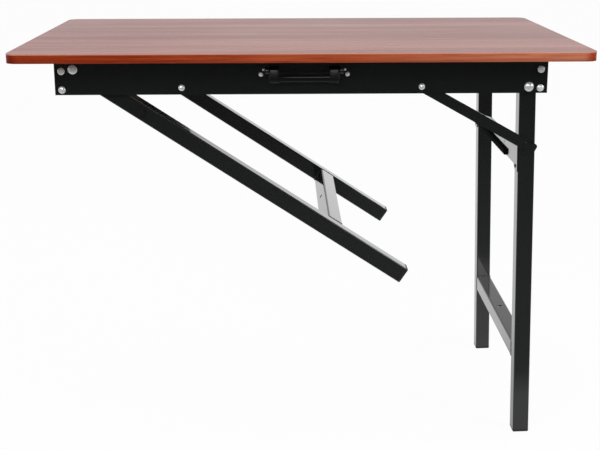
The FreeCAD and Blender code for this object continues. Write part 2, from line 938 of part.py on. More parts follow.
def handle_bracket(label, side):
    body = body_of(label)
    inner = s.grip_length / 2 + s.arm_width + s.bracket_gap
    height = s.bracket_bottom - s.bracket_top
    middle = (inner + s.bracket_width / 2) * side
    plate = sketch_on(body, "XZ_Plane")
    loop(plate, rounded(middle, -s.bracket_top - height / 2, s.bracket_width, height, s.bracket_corner))
    pad(body, plate, s.bracket_sheet)
    out, level, boss = -s.handle_axis_out, -s.handle_axis_depth, s.bracket_boss
    ear = [
        (0, level - boss),
        (0, level + boss),
        (out, level + boss, boss),
        (out - boss, level, boss),
        (out, level - boss),
    ]
    start = inner if side > 0 else -inner - s.bracket_ear
    ear_sketch = loop(sketch_on(body, "YZ_Plane", start), ear)
    hole(ear_sketch, out, level, s.trunnion_size + s.trunnion_play)
    pad(body, ear_sketch, s.bracket_ear)
    holes = sketch_on(body, "XZ_Plane", s.bracket_sheet)
    for x, depth in bracket_holes():
        hole(holes, x * side, -depth, s.bracket_shank)
    pocket(body, holes, s.bracket_sheet)
    place(body, x=s.handle_shift, y=-rail_face, z=underside)


def bracket_rivets():
    pieces = []
    sizes = [(s.bracket_rivet_head, s.bracket_rivet_dome), (s.bracket_stud_head, s.bracket_stud_dome)]
    for side in (-1, 1):
        for (x, depth), (width, height) in zip(bracket_holes(), sizes):
            x, z = s.handle_shift + x * side, underside - depth
            seat = -rail_face - s.bracket_sheet
            end = -rail_inner + s.bracket_tail
            shank = rod(x, end, z, s.bracket_shank / 2, end - seat)
            pieces.append(fused(domed_rod(x, seat, z, width, height), shank))
    node(group(*pieces), "bracket_rivets")


def check_and_export():
    for item in doc.Objects:
        if "Invalid" in item.State or "Error" in item.State:
            raise RuntimeError(f"{item.Name} failed: {item.State}")
    os.makedirs("parts", exist_ok=True)
    for label in LABELS:
        shape = doc.getObjectsByLabel(label)[0].Shape
        if shape.isNull() or not shape.isValid() or not shape.Solids:
            raise RuntimeError(f"{label} has no valid solid")
        shape.exportStep(f"parts/{label}.step")
        print(label, len(shape.Solids), round(shape.Volume, 1))


tabletop()
long_rail("front_rail", True)
long_rail("rear_rail", False)
end_rail("left_end_rail", -1)
end_rail("right_end_rail", 1)
corner_rivets()
board_screws()
pivot_hardware()
leg_set("left", -1)
leg_set("right", 1)
cross_plate()
plate_bolts()
buffer_strip()
brace("left_brace", -1)
brace("right_brace", 1)
brace_rivets()
carry_handle()
handle_bracket("left_handle_bracket", -1)
handle_bracket("right_handle_bracket", 1)
bracket_rivets()
doc.recompute()
check_and_export()
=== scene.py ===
import json
import math

import bmesh
import bpy
from mathutils import Matrix, Vector


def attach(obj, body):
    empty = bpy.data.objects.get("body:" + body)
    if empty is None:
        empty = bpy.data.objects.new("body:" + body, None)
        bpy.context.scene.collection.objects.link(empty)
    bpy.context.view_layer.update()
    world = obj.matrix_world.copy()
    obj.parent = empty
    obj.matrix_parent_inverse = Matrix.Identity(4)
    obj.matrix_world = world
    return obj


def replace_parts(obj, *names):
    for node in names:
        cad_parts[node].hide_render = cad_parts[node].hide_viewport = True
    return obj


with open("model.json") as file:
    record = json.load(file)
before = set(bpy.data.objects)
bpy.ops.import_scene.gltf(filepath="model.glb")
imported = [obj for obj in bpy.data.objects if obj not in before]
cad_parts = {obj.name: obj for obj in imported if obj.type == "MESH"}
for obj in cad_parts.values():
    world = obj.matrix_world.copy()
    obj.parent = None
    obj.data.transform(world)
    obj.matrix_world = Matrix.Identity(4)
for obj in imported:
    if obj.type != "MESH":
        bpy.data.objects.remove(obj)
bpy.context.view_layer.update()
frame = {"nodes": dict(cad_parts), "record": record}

scene = bpy.context.scene
mergeDistance = 1e-6  # metres
print("frame loaded:", len(frame["nodes"]), "nodes")


class Link:
    # a socket in a node tree; sums on it add Math nodes
    def __init__(self, tree, socket):
        self.tree, self.socket = tree, socket

    def calc(self, operation, *others, clamp=False):
        node = self.tree.nodes.new("ShaderNodeMath")
        node.operation, node.use_clamp = operation, clamp
        for slot, value in zip(node.inputs, (self, *others)):
            plug(self.tree, slot, value)
        return Link(self.tree, node.outputs[0])

    def __add__(self, other): return self.calc("ADD", other)
    def __radd__(self, other): return self.calc("ADD", other)
    def __sub__(self, other): return self.calc("SUBTRACT", other)
    def __rsub__(self, other): return (self * -1).calc("ADD", other)
    def __mul__(self, other): return self.calc("MULTIPLY", other)
    def __rmul__(self, other): return self.calc("MULTIPLY", other)
    def __truediv__(self, other): return self.calc("DIVIDE", other)
    def __rtruediv__(self, other): return self.calc("POWER", -1).calc("MULTIPLY", other)
    def sine(self): return self.calc("SINE")
    def cosine(self): return self.calc("COSINE")
    def clamped(self): return self.calc("ADD", 0, clamp=True)

    def step(self, low, high):
        # 0 below low, 1 above high, smooth between
        node = self.tree.nodes.new("ShaderNodeMapRange")
        node.interpolation_type = "SMOOTHSTEP"
        for name, value in (("Value", self), ("From Min", low), ("From Max", high)):
            plug(self.tree, node.inputs[name], value)
        return Link(self.tree, node.outputs["Result"])


def plug(tree, slot, value):
    if isinstance(value, Link):
        tree.links.new(value.socket, slot)
    elif isinstance(value, (tuple, list)) and len(value) == 3 and len(slot.default_value) == 4:
        slot.default_value = (*value, 1)
    else:
        slot.default_value = value


def spoken(name):
    # baseColor -> Base Color
    spaced = "".join(" " + letter if letter.isupper() else letter for letter in name)
    return (spaced[0].upper() + spaced[1:]).replace("Ior", "IOR")


def setStops(ramp, stops):
    while len(ramp.elements) > len(stops):
        ramp.elements.remove(ramp.elements[-1])
    while len(ramp.elements) < len(stops):
        ramp.elements.new(1)
    for element, (position, colour) in zip(ramp.elements, stops):
        element.position = position
        element.color = (*colour, 1)


class Graph:
    # an emptied node tree with one way to add a node: type, settings, then values or links,
    # where i2 is the third socket and baseColor the one called Base Color
    prefix = "ShaderNode"

    def __init__(self, tree):
        self.tree = tree
        tree.nodes.clear()

    def add(self, kind, settings=None, output=0, **sockets):
        node = self.tree.nodes.new(self.prefix + kind)
        for name, value in (settings or {}).items():
            if name == "stops":
                setStops(node.color_ramp, value)
            else:
                setattr(node, name, value)
        for name, value in sockets.items():
            slot = node.inputs[int(name[1:])] if name[1:].isdigit() else node.inputs[spoken(name)]
            plug(self.tree, slot, value)
        return Link(self.tree, node.outputs[output])


class Finish(Graph):
    # a material with its Principled shader
    def __init__(self, name, **sockets):
        self.material = bpy.data.materials.new(name)
        self.material.use_nodes = True
        super().__init__(self.material.node_tree)
        self.out = self.tree.nodes.new("ShaderNodeOutputMaterial")
        self.shader = self.tree.nodes.new("ShaderNodeBsdfPrincipled")
        self.tree.links.new(self.shader.outputs[0], self.out.inputs["Surface"])
        self.set(**sockets)

    def set(self, **sockets):
        for name, value in sockets.items():
            plug(self.tree, self.shader.inputs[spoken(name)], value)

    def place(self, scale=(1, 1, 1)):
        # object coordinates in metres, stretched
        here = self.add("TexCoord", output="Object")
        return self.add("Mapping", vector=here, scale=scale)

    def along(self, letter):
        return self.add("SeparateXYZ", output=letter, vector=self.place())

    def noise(self, vector, scale, detail=3, roughness=0.5):
        return self.add("TexNoise", vector=vector, scale=scale, detail=detail, roughness=roughness)

    def blend(self, factor, first, second, mode="MIX"):
        settings = {"data_type": "RGBA", "blend_type": mode}
        return self.add("Mix", settings, output=2, i0=factor, i6=first, i7=second)

    def tint(self, colour, by):
        return self.blend(1.0, colour, by, "MULTIPLY")

    def ramp(self, factor, *stops):
        return self.add("ValToRGB", {"stops": stops}, fac=factor)

    def bump(self, height, strength, distance):
        return self.add("Bump", height=height, strength=strength, distance=distance)


class Recipe(Graph):
    # a Geometry Nodes tree whose inputs are named sizes in metres
    prefix = ""

    def __init__(self, name, *sizes):
        super().__init__(bpy.data.node_groups.new(name, "GeometryNodeTree"))
        sockets = self.tree.interface
        sockets.new_socket("Geometry", in_out="INPUT", socket_type="NodeSocketGeometry")
        sockets.new_socket("Geometry", in_out="OUTPUT", socket_type="NodeSocketGeometry")
        for size in sizes:
            sockets.new_socket(size, in_out="INPUT", socket_type="NodeSocketFloat")
        sockets.new_socket("finish", in_out="INPUT", socket_type="NodeSocketMaterial")
        self.given = self.tree.nodes.new("NodeGroupInput")
        self.out = self.tree.nodes.new("NodeGroupOutput")

    def size(self, name):
        return Link(self.tree, self.given.outputs[name])

    def join(self, *pieces):
        node = self.tree.nodes.new("GeometryNodeJoinGeometry")
        for piece in reversed(pieces):
            self.tree.links.new(piece.socket, node.inputs[0])
        return Link(self.tree, node.outputs[0])

    def end(self, geometry):
        plain = self.add("GeometryNodeRealizeInstances", geometry=geometry)
        dressed = self.add("GeometryNodeSetMaterial", geometry=plain, material=self.size("finish"))
        self.tree.links.new(dressed.socket, self.out.inputs[0])


def bake(recipe, host, finish, sizes):
    # runs the recipe on a host mesh and gives the plain mesh that comes out
    source = bpy.data.objects.new("host", host)
    scene.collection.objects.link(source)
    modifier = source.modifiers.new("recipe", "NODES")
    modifier.node_group = recipe.tree
    for socket in recipe.tree.interface.items_tree:
        if socket.in_out == "INPUT" and socket.name in sizes:
            modifier[socket.identifier] = sizes[socket.name]
        if socket.in_out == "INPUT" and socket.name == "finish":
            modifier[socket.identifier] = finish
    grown = source.evaluated_get(bpy.context.evaluated_depsgraph_get())
    mesh = bpy.data.meshes.new_from_object(grown)
    source.modifiers.remove(modifier)
    bpy.data.objects.remove(source)
    return mesh


def pieceFrom(name, meshes, body, slot, sharp=35):
    # joins the meshes in one object that rides on the body; edges over sharp degrees stay crisp
    work = bmesh.new()
    for mesh in meshes:
        work.from_mesh(mesh)
    joined = bpy.data.meshes.new(name)
    work.to_mesh(joined)
    work.free()
    joined.materials.clear()
    joined.materials.append(finishes[slot])
    joined.shade_smooth()
    joined.set_sharp_from_angle(angle=math.radians(sharp))
    piece = bpy.data.objects.new(name, joined)
    scene.collection.objects.link(piece)
    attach(piece, body)
    return piece


shot = {"place": (-0.03356, -2.12122, 0.97568), "yaw": 0.90, "pitch": 14.27, "roll": 0.13,
        "focalPixels": 1088.58, "widthPixels": 600, "sensor": 36, "dropPixels": 40, "farEnd": 100}


def makeCamera():
    yaw, pitch, roll = (math.radians(shot[k]) for k in ("yaw", "pitch", "roll"))
    level = math.cos(pitch)
    ahead = Vector((math.sin(yaw) * level, math.cos(yaw) * level, -math.sin(pitch)))
    across = Vector((math.cos(yaw), -math.sin(yaw), 0))
    down = ahead.cross(across)
    right = across * math.cos(roll) + down * math.sin(roll)
    below = down * math.cos(roll) - across * math.sin(roll)
    data = bpy.data.cameras.new("photoCamera")
    data.sensor_width = shot["sensor"]
    data.lens = shot["focalPixels"] / shot["widthPixels"] * shot["sensor"]
    data.shift_y = -shot["dropPixels"] / shot["widthPixels"]
    data.clip_end = shot["farEnd"]
    camera = bpy.data.objects.new("photoCamera", data)
    turn = Matrix((right, -below, -ahead)).transposed().to_4x4()
    camera.matrix_world = Matrix.Translation(shot["place"]) @ turn
    scene.collection.objects.link(camera)
    scene.camera = camera


makeCamera()
print("camera placed")


grainLook = {"bandStretch": (0.05, 1, 1), "bandScale": 10, "bandDetail": 2,
             "streakStretch": (0.04, 1, 1), "streakScale": 32,
             "tickStretch": (0.035, 1, 1), "tickScale": 300,
             "fineDetail": 6, "fineRoughness": 0.65,
             "poreStretch": (0.012, 1, 1), "poreScale": 520, "poreDetail": 2}


def woodGrain(look, streakName, bandShare, streakShare, poreShare):
    # broad bands, streaks and fine pore lines, all along X
    def layer(name, detail, roughness=0.5):
        place = look.place(scale=grainLook[name + "Stretch"])
        return look.noise(place, grainLook[name + "Scale"], detail=detail, roughness=roughness)

    bands = layer("band", grainLook["bandDetail"])
    streaks = layer(streakName, grainLook["fineDetail"], grainLook["fineRoughness"])
    pores = layer("pore", grainLook["poreDetail"])
    sums = (bands - 0.5) * bandShare + (streaks - 0.5) * streakShare + (pores - 0.5) * poreShare
    return (sums + 0.5).clamped(), pores


topLook = {"shares": (2.0, 2.8, 1.2),  # of bands, streaks and pores
           "stops": ((0.1, (0.195, 0.022, 0.009)),
                     (0.5, (0.300, 0.069, 0.045)),
                     (0.9, (0.380, 0.122, 0.090))),
           "shine": 0.5, "rough": 0.26, "cloudScale": 2.2, "cloudShare": 0.08, "poreShare": 0.08}


def topFinish():
    # printed cherry under clear melamine
    look = Finish("topPrint", specularIorLevel=topLook["shine"])
    grain, pores = woodGrain(look, "streak", *topLook["shares"])
    cloud = look.noise(look.place(), topLook["cloudScale"])
    look.set(baseColor=look.ramp(grain, *topLook["stops"]))
    look.set(roughness=(cloud - 0.5) * topLook["cloudShare"] + (pores - 0.5) * topLook["poreShare"]
             + topLook["rough"])
    return look.material


# the stops go from dark to pale across X, a painted highlight towards the band's right
edgeLook = {"shares": (0.4, 2.6, 1.2), "reach": (-0.30, 0.50),  # the stops' first and last X
            "stops": ((0, (0.219, 0.018, 0.0005)),
                      (0.46, (0.343, 0.067, 0.023)),
                      (1, (0.470, 0.173, 0.101))),
            "cornerTint": (0.64, 0.19, 0.05), "cornerTurn": (0.474, 0.490),
            "darkTint": (0.66, 0.50, 0.44), "light": (0.80, 0.24, 0.06), "lightShare": 0.06,
            # painted shade: the band is darker along its lower part
            "lowTint": (0.74, 0.70, 0.70), "lowTurn": (0.7245, 0.7325),
            "trim": (0.62, 0.36, 0.28), "trimShare": 0.5, "trimTurn": (0.7375, 0.7388),
            "shine": 0.1, "rough": 0.42, "poreShare": 0.12}


def edgeFinish():
    # the band is a cherry print; its run from dark at the left to paler orange at the right is a
    # painted highlight
    look = Finish("edgePrint", specularIorLevel=edgeLook["shine"])
    grain, pores = woodGrain(look, "tick", *edgeLook["shares"])
    across, height = look.along("X"), look.along("Z")
    low, high = edgeLook["reach"]
    # painted highlight: the print is darker at the left and paler towards the right
    paintedLightHue = look.ramp((across - low) / (high - low), *edgeLook["stops"])
    corner = across.calc("ABSOLUTE").step(*edgeLook["cornerTurn"])
    paintedLightHue = look.blend(corner, paintedLightHue, edgeLook["cornerTint"], "MULTIPLY")
    light = look.blend(edgeLook["lightShare"], paintedLightHue, edgeLook["light"])
    toned = look.blend(grain, look.tint(paintedLightHue, edgeLook["darkTint"]), light)
    # painted shade darkens the band towards its bottom
    upper = height.step(*edgeLook["lowTurn"])
    shaded = look.blend(upper, look.tint(toned, edgeLook["lowTint"]), toned)
    trimmed = height.step(*edgeLook["trimTurn"]) * edgeLook["trimShare"]  # the pale upper corner
    look.set(baseColor=look.blend(trimmed, shaded, edgeLook["trim"]),
             roughness=(pores - 0.5) * edgeLook["poreShare"] + edgeLook["rough"])
    return look.material


paintLook = {"colour": (0.0060, 0.0073, 0.0067), "shine": 0.5, "rough": 0.12,
             "coat": 1.0, "coatRough": 0.03, "smearScale": 14, "smearShare": 0.06}


def paintFinish():
    # stoved black gloss paint
    look = Finish("framePaint", baseColor=paintLook["colour"], specularIorLevel=paintLook["shine"],
                  coatWeight=paintLook["coat"], coatRoughness=paintLook["coatRough"])
    smear = look.noise(look.place(), paintLook["smearScale"])
    look.set(roughness=smear * paintLook["smearShare"] + paintLook["rough"])
    return look.material


steelLook = {"patchScale": 420, "patchShare": 0.12, "patchTurn": (0.3, 0.75),
             "brightSteel": {"colour": (0.92, 0.93, 0.92), "rough": 0.20, "metal": 0.6,
                             "mottled": 0.06},
             "zincSteel": {"colour": (0.60, 0.60, 0.60), "rough": 0.34, "metal": 0.8,
                           "mottled": 0.2}}


def steelFinish(name):
    # plated steel with small duller patches
    kind = steelLook[name]
    look = Finish(name, metallic=kind["metal"])
    patch = look.noise(look.place(), steelLook["patchScale"], detail=2)
    dark = tuple(c * (1 - kind["mottled"]) for c in kind["colour"])
    low, high = steelLook["patchTurn"]
    look.set(baseColor=look.ramp(patch, (low, dark), (high, kind["colour"])),
             roughness=(patch - 0.5) * steelLook["patchShare"] + kind["rough"])
    return look.material


plasticLook = {"grainScale": 900, "grainShare": 0.12, "bumpHeight": 0.0003,
               "capPlastic": {"colour": (0.012, 0.012, 0.012), "rough": 0.42, "shine": 0.5,
                              "bumps": 0.12},
               "bufferRubber": {"colour": (0.005, 0.005, 0.005), "rough": 0.85, "shine": 0.02,
                                "bumps": 0.25},
               "handlePlastic": {"colour": (0.006, 0.006, 0.006), "rough": 0.15, "shine": 0.3,
                                 "bumps": 0.02}}


def plasticFinish(name):
    # black plastic or rubber with a fine moulded grain
    kind = plasticLook[name]
    look = Finish(name, baseColor=kind["colour"], specularIorLevel=kind["shine"])
    grain = look.noise(look.place(), plasticLook["grainScale"], detail=2)
    look.set(roughness=(grain - 0.5) * plasticLook["grainShare"] + kind["rough"],
             normal=look.bump(grain, kind["bumps"], plasticLook["bumpHeight"]))
    return look.material


chipLook = {"stretch": (1, 1, 1.8), "scale": 240, "rough": 0.85,
            "stops": ((0, (0.30, 0.19, 0.10)), (0.5, (0.50, 0.35, 0.20)), (1, (0.66, 0.50, 0.32)))}


def chipFinish():
    # pressed chips, seen only in the pilot holes
    look = Finish("chipboard", roughness=chipLook["rough"])
    chips = look.place(scale=chipLook["stretch"])
    cells = look.add("TexVoronoi", output="Color", vector=chips, scale=chipLook["scale"])
    shade = look.add("SeparateColor", output="Red", color=cells)
    look.set(baseColor=look.ramp(shade, *chipLook["stops"]))
    return look.material


backingLook = {"stretch": (0.6, 9, 9), "scale": 8, "grainRoughness": 0.6, "shine": 0.4,
               # the brown is darker than the laminate's own: painted shade under the board
               "stops": ((0.3, (0.060, 0.027, 0.015)), (0.7, (0.105, 0.050, 0.028))),
               "rough": 0.55, "grainShare": 0.1}


def backingFinish():
    # plain brown paper laminate under the board, its brown darkened as painted shade under the
    # board
    look = Finish("backing", specularIorLevel=backingLook["shine"])
    grain = look.noise(look.place(scale=backingLook["stretch"]), backingLook["scale"], detail=4,
                       roughness=backingLook["grainRoughness"])
    look.set(baseColor=look.ramp(grain, *backingLook["stops"]),
             roughness=(grain - 0.5) * backingLook["grainShare"] + backingLook["rough"])
    return look.material


finishes = {
    "board_core": chipFinish(),
    "board_laminate": topFinish(),
    "board_backing": backingFinish(),
    "board_edge": edgeFinish(),
    "frame_paint": paintFinish(),
    "bright_steel": steelFinish("brightSteel"),
    "plain_steel": steelFinish("zincSteel"),
    "cap_plastic": plasticFinish("capPlastic"),
    "buffer_rubber": plasticFinish("bufferRubber"),
    "handle_plastic": plasticFinish("handlePlastic"),
}
for part in frame["record"]["subparts"]:
    mesh = frame["nodes"][part["node"]].data
    mesh.materials.clear()
    mesh.materials.append(finishes[part["material_slot"]])
print("finishes set:", len(finishes))


def islandBoxes(nodeName):
    # lowest and highest corner of each loose solid in a CAD node
    work = bmesh.new()
    work.from_mesh(frame["nodes"][nodeName].data)
    bmesh.ops.remove_doubles(work, verts=work.verts, dist=mergeDistance)
    boxes, left = [], set(work.verts)
    while left:
        reached, waiting = [], [left.pop()]
        while waiting:
            vert = waiting.pop()
            reached.append(vert.co.copy())
            for edge in vert.link_edges:
                near = edge.other_vert(vert)
                if near in left:
                    left.discard(near)
                    waiting.append(near)
        low, high = (Vector(limit(co[k] for co in reached) for k in range(3))
                     for limit in (min, max))
        boxes.append((low, high))
    work.free()
    return sorted(boxes, key=lambda box: tuple(box[0]))  # in the same order each run


def spotsMesh(spots):
    # points that carry the way their fastener faces
    mesh = bpy.data.meshes.new("spots")
    mesh.from_pydata([place for place, facing in spots], [], [])
    facings = mesh.attributes.new("facing", "FLOAT_VECTOR", "POINT")
    for row, (place, facing) in enumerate(spots):
        facings.data[row].vector = facing
    return mesh


domeLook = {"steps": 16, "spokes": 49,
            "capShare": 0.8,  # of the steps; the others close the cap underneath
            "dishShare": 0.6}  # of the dish's radius is flat


def domeNodes(recipe, radius, height, dishRadius, dishDepth):
    # a round cap over the plane z = 0, closed underneath, with a dished centre
    grid = recipe.add("GeometryNodeMeshGrid", sizeX=1, sizeY=1,
                      verticesX=domeLook["steps"], verticesY=domeLook["spokes"])
    here = recipe.add("GeometryNodeInputPosition")
    across = recipe.add("ShaderNodeSeparateXYZ", output="X", vector=here) + 0.5
    turn = (recipe.add("ShaderNodeSeparateXYZ", output="Y", vector=here) + 0.5) * math.tau
    share = domeLook["capShare"]
    cap = (across * (1 / share)).calc("MINIMUM", 1)
    under = ((across * (1 / share) - 1) * (share / (1 - share))).clamped()
    opening = (height / radius).calc("ARCTANGENT") * 2
    reach = (opening * cap).sine() / opening.sine() * radius * (1 - under)
    rise = ((opening * cap).cosine() - opening.cosine()) / (1 - opening.cosine()) * height
    flat = dishRadius * domeLook["dishShare"]
    dish = (1 - reach.step(flat, dishRadius)) * dishDepth * (1 - under)
    spot = recipe.add("ShaderNodeCombineXYZ", x=reach * turn.cosine(), y=reach * turn.sine(),
                      z=rise - dish)
    shaped = recipe.add("GeometryNodeSetPosition", geometry=grid, position=spot)
    return recipe.add("GeometryNodeMergeByDistance", geometry=shaped, distance=mergeDistance)


def faced(recipe, piece):
    # sets the piece on every spot, turned the way the spot faces
    facing = recipe.add("GeometryNodeInputNamedAttribute", {"data_type": "FLOAT_VECTOR"},
                        name="facing")
    turn = recipe.add("FunctionNodeAlignRotationToVector", {"axis": "Z"}, vector=facing)
    return recipe.add("GeometryNodeInstanceOnPoints", points=recipe.size("Geometry"),
                      instance=piece, rotation=turn)


fastenerLook = {"sides": 32, "sameWidth": 0.0002,  # metres that a solid may differ from its kind
                "sizes": ("headRadius", "headHeight", "dishRadius", "dishDepth", "shankRadius",
                          "shankLength", "tailRadius", "tailHeight")}


def fastenerRecipe():
    # dished head, shank and domed tail
    recipe = Recipe("domedFastener", *fastenerLook["sizes"])
    (headRadius, headHeight, dishRadius, dishDepth, shankRadius, shankLength, tailRadius,
     tailHeight) = (recipe.size(name) for name in fastenerLook["sizes"])
    head = domeNodes(recipe, headRadius, headHeight, dishRadius, dishDepth)
    shank = recipe.add("GeometryNodeMeshCylinder", vertices=fastenerLook["sides"],
                       radius=shankRadius, depth=shankLength)
    middle = recipe.add("ShaderNodeCombineXYZ", z=shankLength * -0.5)
    shank = recipe.add("GeometryNodeTransform", geometry=shank, translation=middle)
    tail = domeNodes(recipe, tailRadius, tailHeight, dishRadius, 0)
    foot = recipe.add("ShaderNodeCombineXYZ", z=shankLength * -1)
    tail = recipe.add("GeometryNodeTransform", geometry=tail, translation=foot,
                      rotation=(math.pi, 0, 0))
    recipe.end(faced(recipe, recipe.join(head, shank, tail)))
    return recipe


fasteners = {  # millimetres
    "cornerRivets": {"node": "corner_rivets", "width": 12.6, "headHeight": 2.6,
                     "dishRadius": 1.9, "dishDepth": 0.5, "shankRadius": 2.4, "shankLength": 3,
                     "tailRadius": 3.8, "tailHeight": 1.4},
    "pivotBolts": {"node": "leg_pivot_bolts", "width": 16.8, "headHeight": 4,
                   "dishRadius": 2.4, "dishDepth": 0.25, "shankRadius": 5, "shankLength": 51,
                   "tailRadius": 4.6, "tailHeight": 0.9},
    "braceRivets": {"node": "brace_rivets", "width": 11.4, "headHeight": 3,
                    "dishRadius": 1.2, "dishDepth": 0.1, "shankRadius": 3.5, "shankLength": 6.9,
                    "tailRadius": 5, "tailHeight": 1.1},
    "bracketRivets": {"node": "bracket_rivets", "width": 8, "headHeight": 1.9,
                      "dishRadius": 1.2, "dishDepth": 0.3, "shankRadius": 1.7, "shankLength": 4,
                      "tailRadius": 2.6, "tailHeight": 1.1},
    "bracketStuds": {"node": "bracket_rivets", "width": 4.6, "headHeight": 1.1,
                     "dishRadius": 0.7, "dishDepth": 0.1, "shankRadius": 1.7, "shankLength": 4,
                     "tailRadius": 2.2, "tailHeight": 0.9},
}


def makeFasteners():
    # a domed fastener for each loose solid of a kind's width
    recipe = fastenerRecipe()
    made = {}
    for kind in fasteners.values():
        sizes = {name: value / 1000 for name, value in kind.items() if name != "node"}
        sizes["headRadius"] = sizes["width"] / 2
        spots = []
        for low, high in islandBoxes(kind["node"]):
            if abs(high.x - low.x - sizes["width"]) < fastenerLook["sameWidth"]:
                front = low.y < 0
                seat = low.y + sizes["headHeight"] if front else high.y - sizes["headHeight"]
                place = ((low.x + high.x) / 2, seat, (low.z + high.z) / 2)
                spots.append((place, (0, -1 if front else 1, 0)))
        mesh = bake(recipe, spotsMesh(spots), finishes["bright_steel"], sizes)
        made.setdefault(kind["node"], []).append(mesh)
    for nodeName, meshes in made.items():
        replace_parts(pieceFrom("domed_" + nodeName, meshes, "frame", "bright_steel"), nodeName)


makeFasteners()
print("fasteners made")


screwLook = {"sides": 24,
             "sizes": {"headRadius": 4, "headHeight": 2.2, "shankRadius": 1.95,  # millimetres
                       "pointRadius": 0.4875, "shankLength": 13.4, "crossLength": 4.4,
                       "crossWidth": 0.9, "crossDepth": 1.3}}


def screwRecipe():
    # pan head with a cross recess on a plain shank
    recipe = Recipe("crossScrew", *screwLook["sizes"])
    (headRadius, headHeight, shankRadius, pointRadius, shankLength, crossLength, crossWidth,
     crossDepth) = (recipe.size(name) for name in screwLook["sizes"])
    head = domeNodes(recipe, headRadius, headHeight, crossWidth, 0)
    depth = crossDepth * 2  # half of each bar stands above the head
    lift = recipe.add("ShaderNodeCombineXYZ", z=headHeight)
    for long, wide in ((crossLength, crossWidth), (crossWidth, crossLength)):
        box = recipe.add("ShaderNodeCombineXYZ", x=long, y=wide, z=depth)
        cube = recipe.add("GeometryNodeMeshCube", size=box)
        bar = recipe.add("GeometryNodeTransform", geometry=cube, translation=lift)
        head = recipe.add("GeometryNodeMeshBoolean", {"operation": "DIFFERENCE", "solver": "EXACT"},
                          i0=head, i1=bar)
    shank = recipe.add("GeometryNodeMeshCone", vertices=screwLook["sides"], radiusTop=pointRadius,
                       radiusBottom=shankRadius, depth=shankLength)
    shank = recipe.add("GeometryNodeTransform", geometry=shank, rotation=(math.pi, 0, 0))
    recipe.end(faced(recipe, recipe.join(head, shank)))
    return recipe


def makeBoardScrews():
    sizes = {name: value / 1000 for name, value in screwLook["sizes"].items()}
    spots = []
    for low, high in islandBoxes("board_screws"):
        seat = low.z + sizes["headHeight"]
        spots.append((((low.x + high.x) / 2, (low.y + high.y) / 2, seat), (0, 0, -1)))
    mesh = bake(screwRecipe(), spotsMesh(spots), finishes["plain_steel"], sizes)
    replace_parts(pieceFrom("cross_board_screws", [mesh], "frame", "plain_steel"), "board_screws")


makeBoardScrews()
print("board screws made")


weldLook = {"beadRadius": 0.0017, "ripplePitch": 0.0022, "ripple": 0.28, "sunk": 0.0006,  # metres
            "steps": 320, "sides": 10, "lumpScale": 180, "lumpShare": 0.35, "sharp": 80,
            "legHalf": 0.015, "legInner": 0.189, "channelTop": 0.1745, "channelHeight": 0.029,
            "sets": {"left": {"length": 0.70389, "lean": 33.4},  # degrees below the level
                     "right": {"length": 0.66988, "lean": 88.4}}}


def weldRecipe():
    # a rippled bead that follows the edges of its host
    sizes = ("beadRadius", "ripplePitch", "ripple")
    recipe = Recipe("weldBead", *sizes)
    radius, pitch, ripple = (recipe.size(name) for name in sizes)
    path = recipe.add("GeometryNodeMeshToCurve", mesh=recipe.size("Geometry"))
    even = recipe.add("GeometryNodeResampleCurve", curve=path, i2=weldLook["steps"])
    travelled = recipe.add("GeometryNodeSplineParameter", output="Length")
    wave = (travelled / pitch * math.tau).sine().calc("ABSOLUTE")
    lumps = recipe.add("ShaderNodeTexNoise", {"noise_dimensions": "3D"},
                       scale=weldLook["lumpScale"])
    width = (1 - ripple) + wave * ripple + (lumps - 0.5) * weldLook["lumpShare"]
    ring = recipe.add("GeometryNodeCurvePrimitiveCircle", i0=weldLook["sides"], radius=radius)
    bead = recipe.add("GeometryNodeCurveToMesh", curve=even, profileCurve=ring, scale=width,
                      fillCaps=True)
    recipe.end(recipe.add("GeometryNodeSetShadeSmooth", geometry=bead))
    return recipe


def makeWelds():
    # along both flanks and the top of each stretcher's end, on the inner face of each leg
    recipe = weldRecipe()
    joints = {joint["name"]: joint for joint in frame["record"]["behaviour"]["joints"]}
    half, inner = weldLook["legHalf"] - weldLook["sunk"], weldLook["legInner"] - weldLook["sunk"]
    for side, legs in weldLook["sets"].items():
        pivot = Vector(joints[side + "_leg_fold"]["pos_m"])
        lean = math.radians(legs["lean"])
        down = Vector((math.cos(lean), 0, -math.sin(lean)))
        square = Vector((math.sin(lean), 0, math.cos(lean)))
        top = legs["length"] - weldLook["channelTop"] + weldLook["sunk"]
        foot = top + weldLook["channelHeight"]
        meshes = []
        for y in (-inner, inner):
            corners = [pivot + down * drop + square * across + Vector((0, y, 0))
                       for across, drop in ((-half, foot), (-half, top), (half, top), (half, foot))]
            host = bpy.data.meshes.new("weldPath")
            host.from_pydata(corners, [(0, 1), (1, 2), (2, 3)], [])
            meshes.append(bake(recipe, host, finishes["frame_paint"], weldLook))
        body = side + "_leg_set"
        pieceFrom(body + "_welds", meshes, body, "frame_paint", sharp=weldLook["sharp"])


makeWelds()
print("weld beads made")


handleLook = {"softEdge": 0.0011, "steps": 3, "roundness": 0.5,
              "flat": 0.002,  # radians between faces that are merged
              "sharp": 25}  # degrees, over which an edge is rounded


def makeHandle():
    # the moulded handle with its edges rounded over
    work = bmesh.new()
    work.from_mesh(frame["nodes"]["carry_handle"].data)
    bmesh.ops.remove_doubles(work, verts=work.verts, dist=mergeDistance)
    bmesh.ops.dissolve_limit(work, angle_limit=handleLook["flat"], verts=work.verts,
                             edges=work.edges)
    least = math.radians(handleLook["sharp"])
    sharp = [edge for edge in work.edges if edge.is_manifold and edge.calc_face_angle() > least]
    bmesh.ops.bevel(work, geom=sharp, offset=handleLook["softEdge"], segments=handleLook["steps"],
                    profile=handleLook["roundness"], affect="EDGES", clamp_overlap=True)
    mesh = bpy.data.meshes.new("moulding")
    work.to_mesh(mesh)
    work.free()
    moulding = pieceFrom("moulded_handle", [mesh], "carry_handle", "handle_plastic")
    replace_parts(moulding, "carry_handle")


makeHandle()
print("handle made")


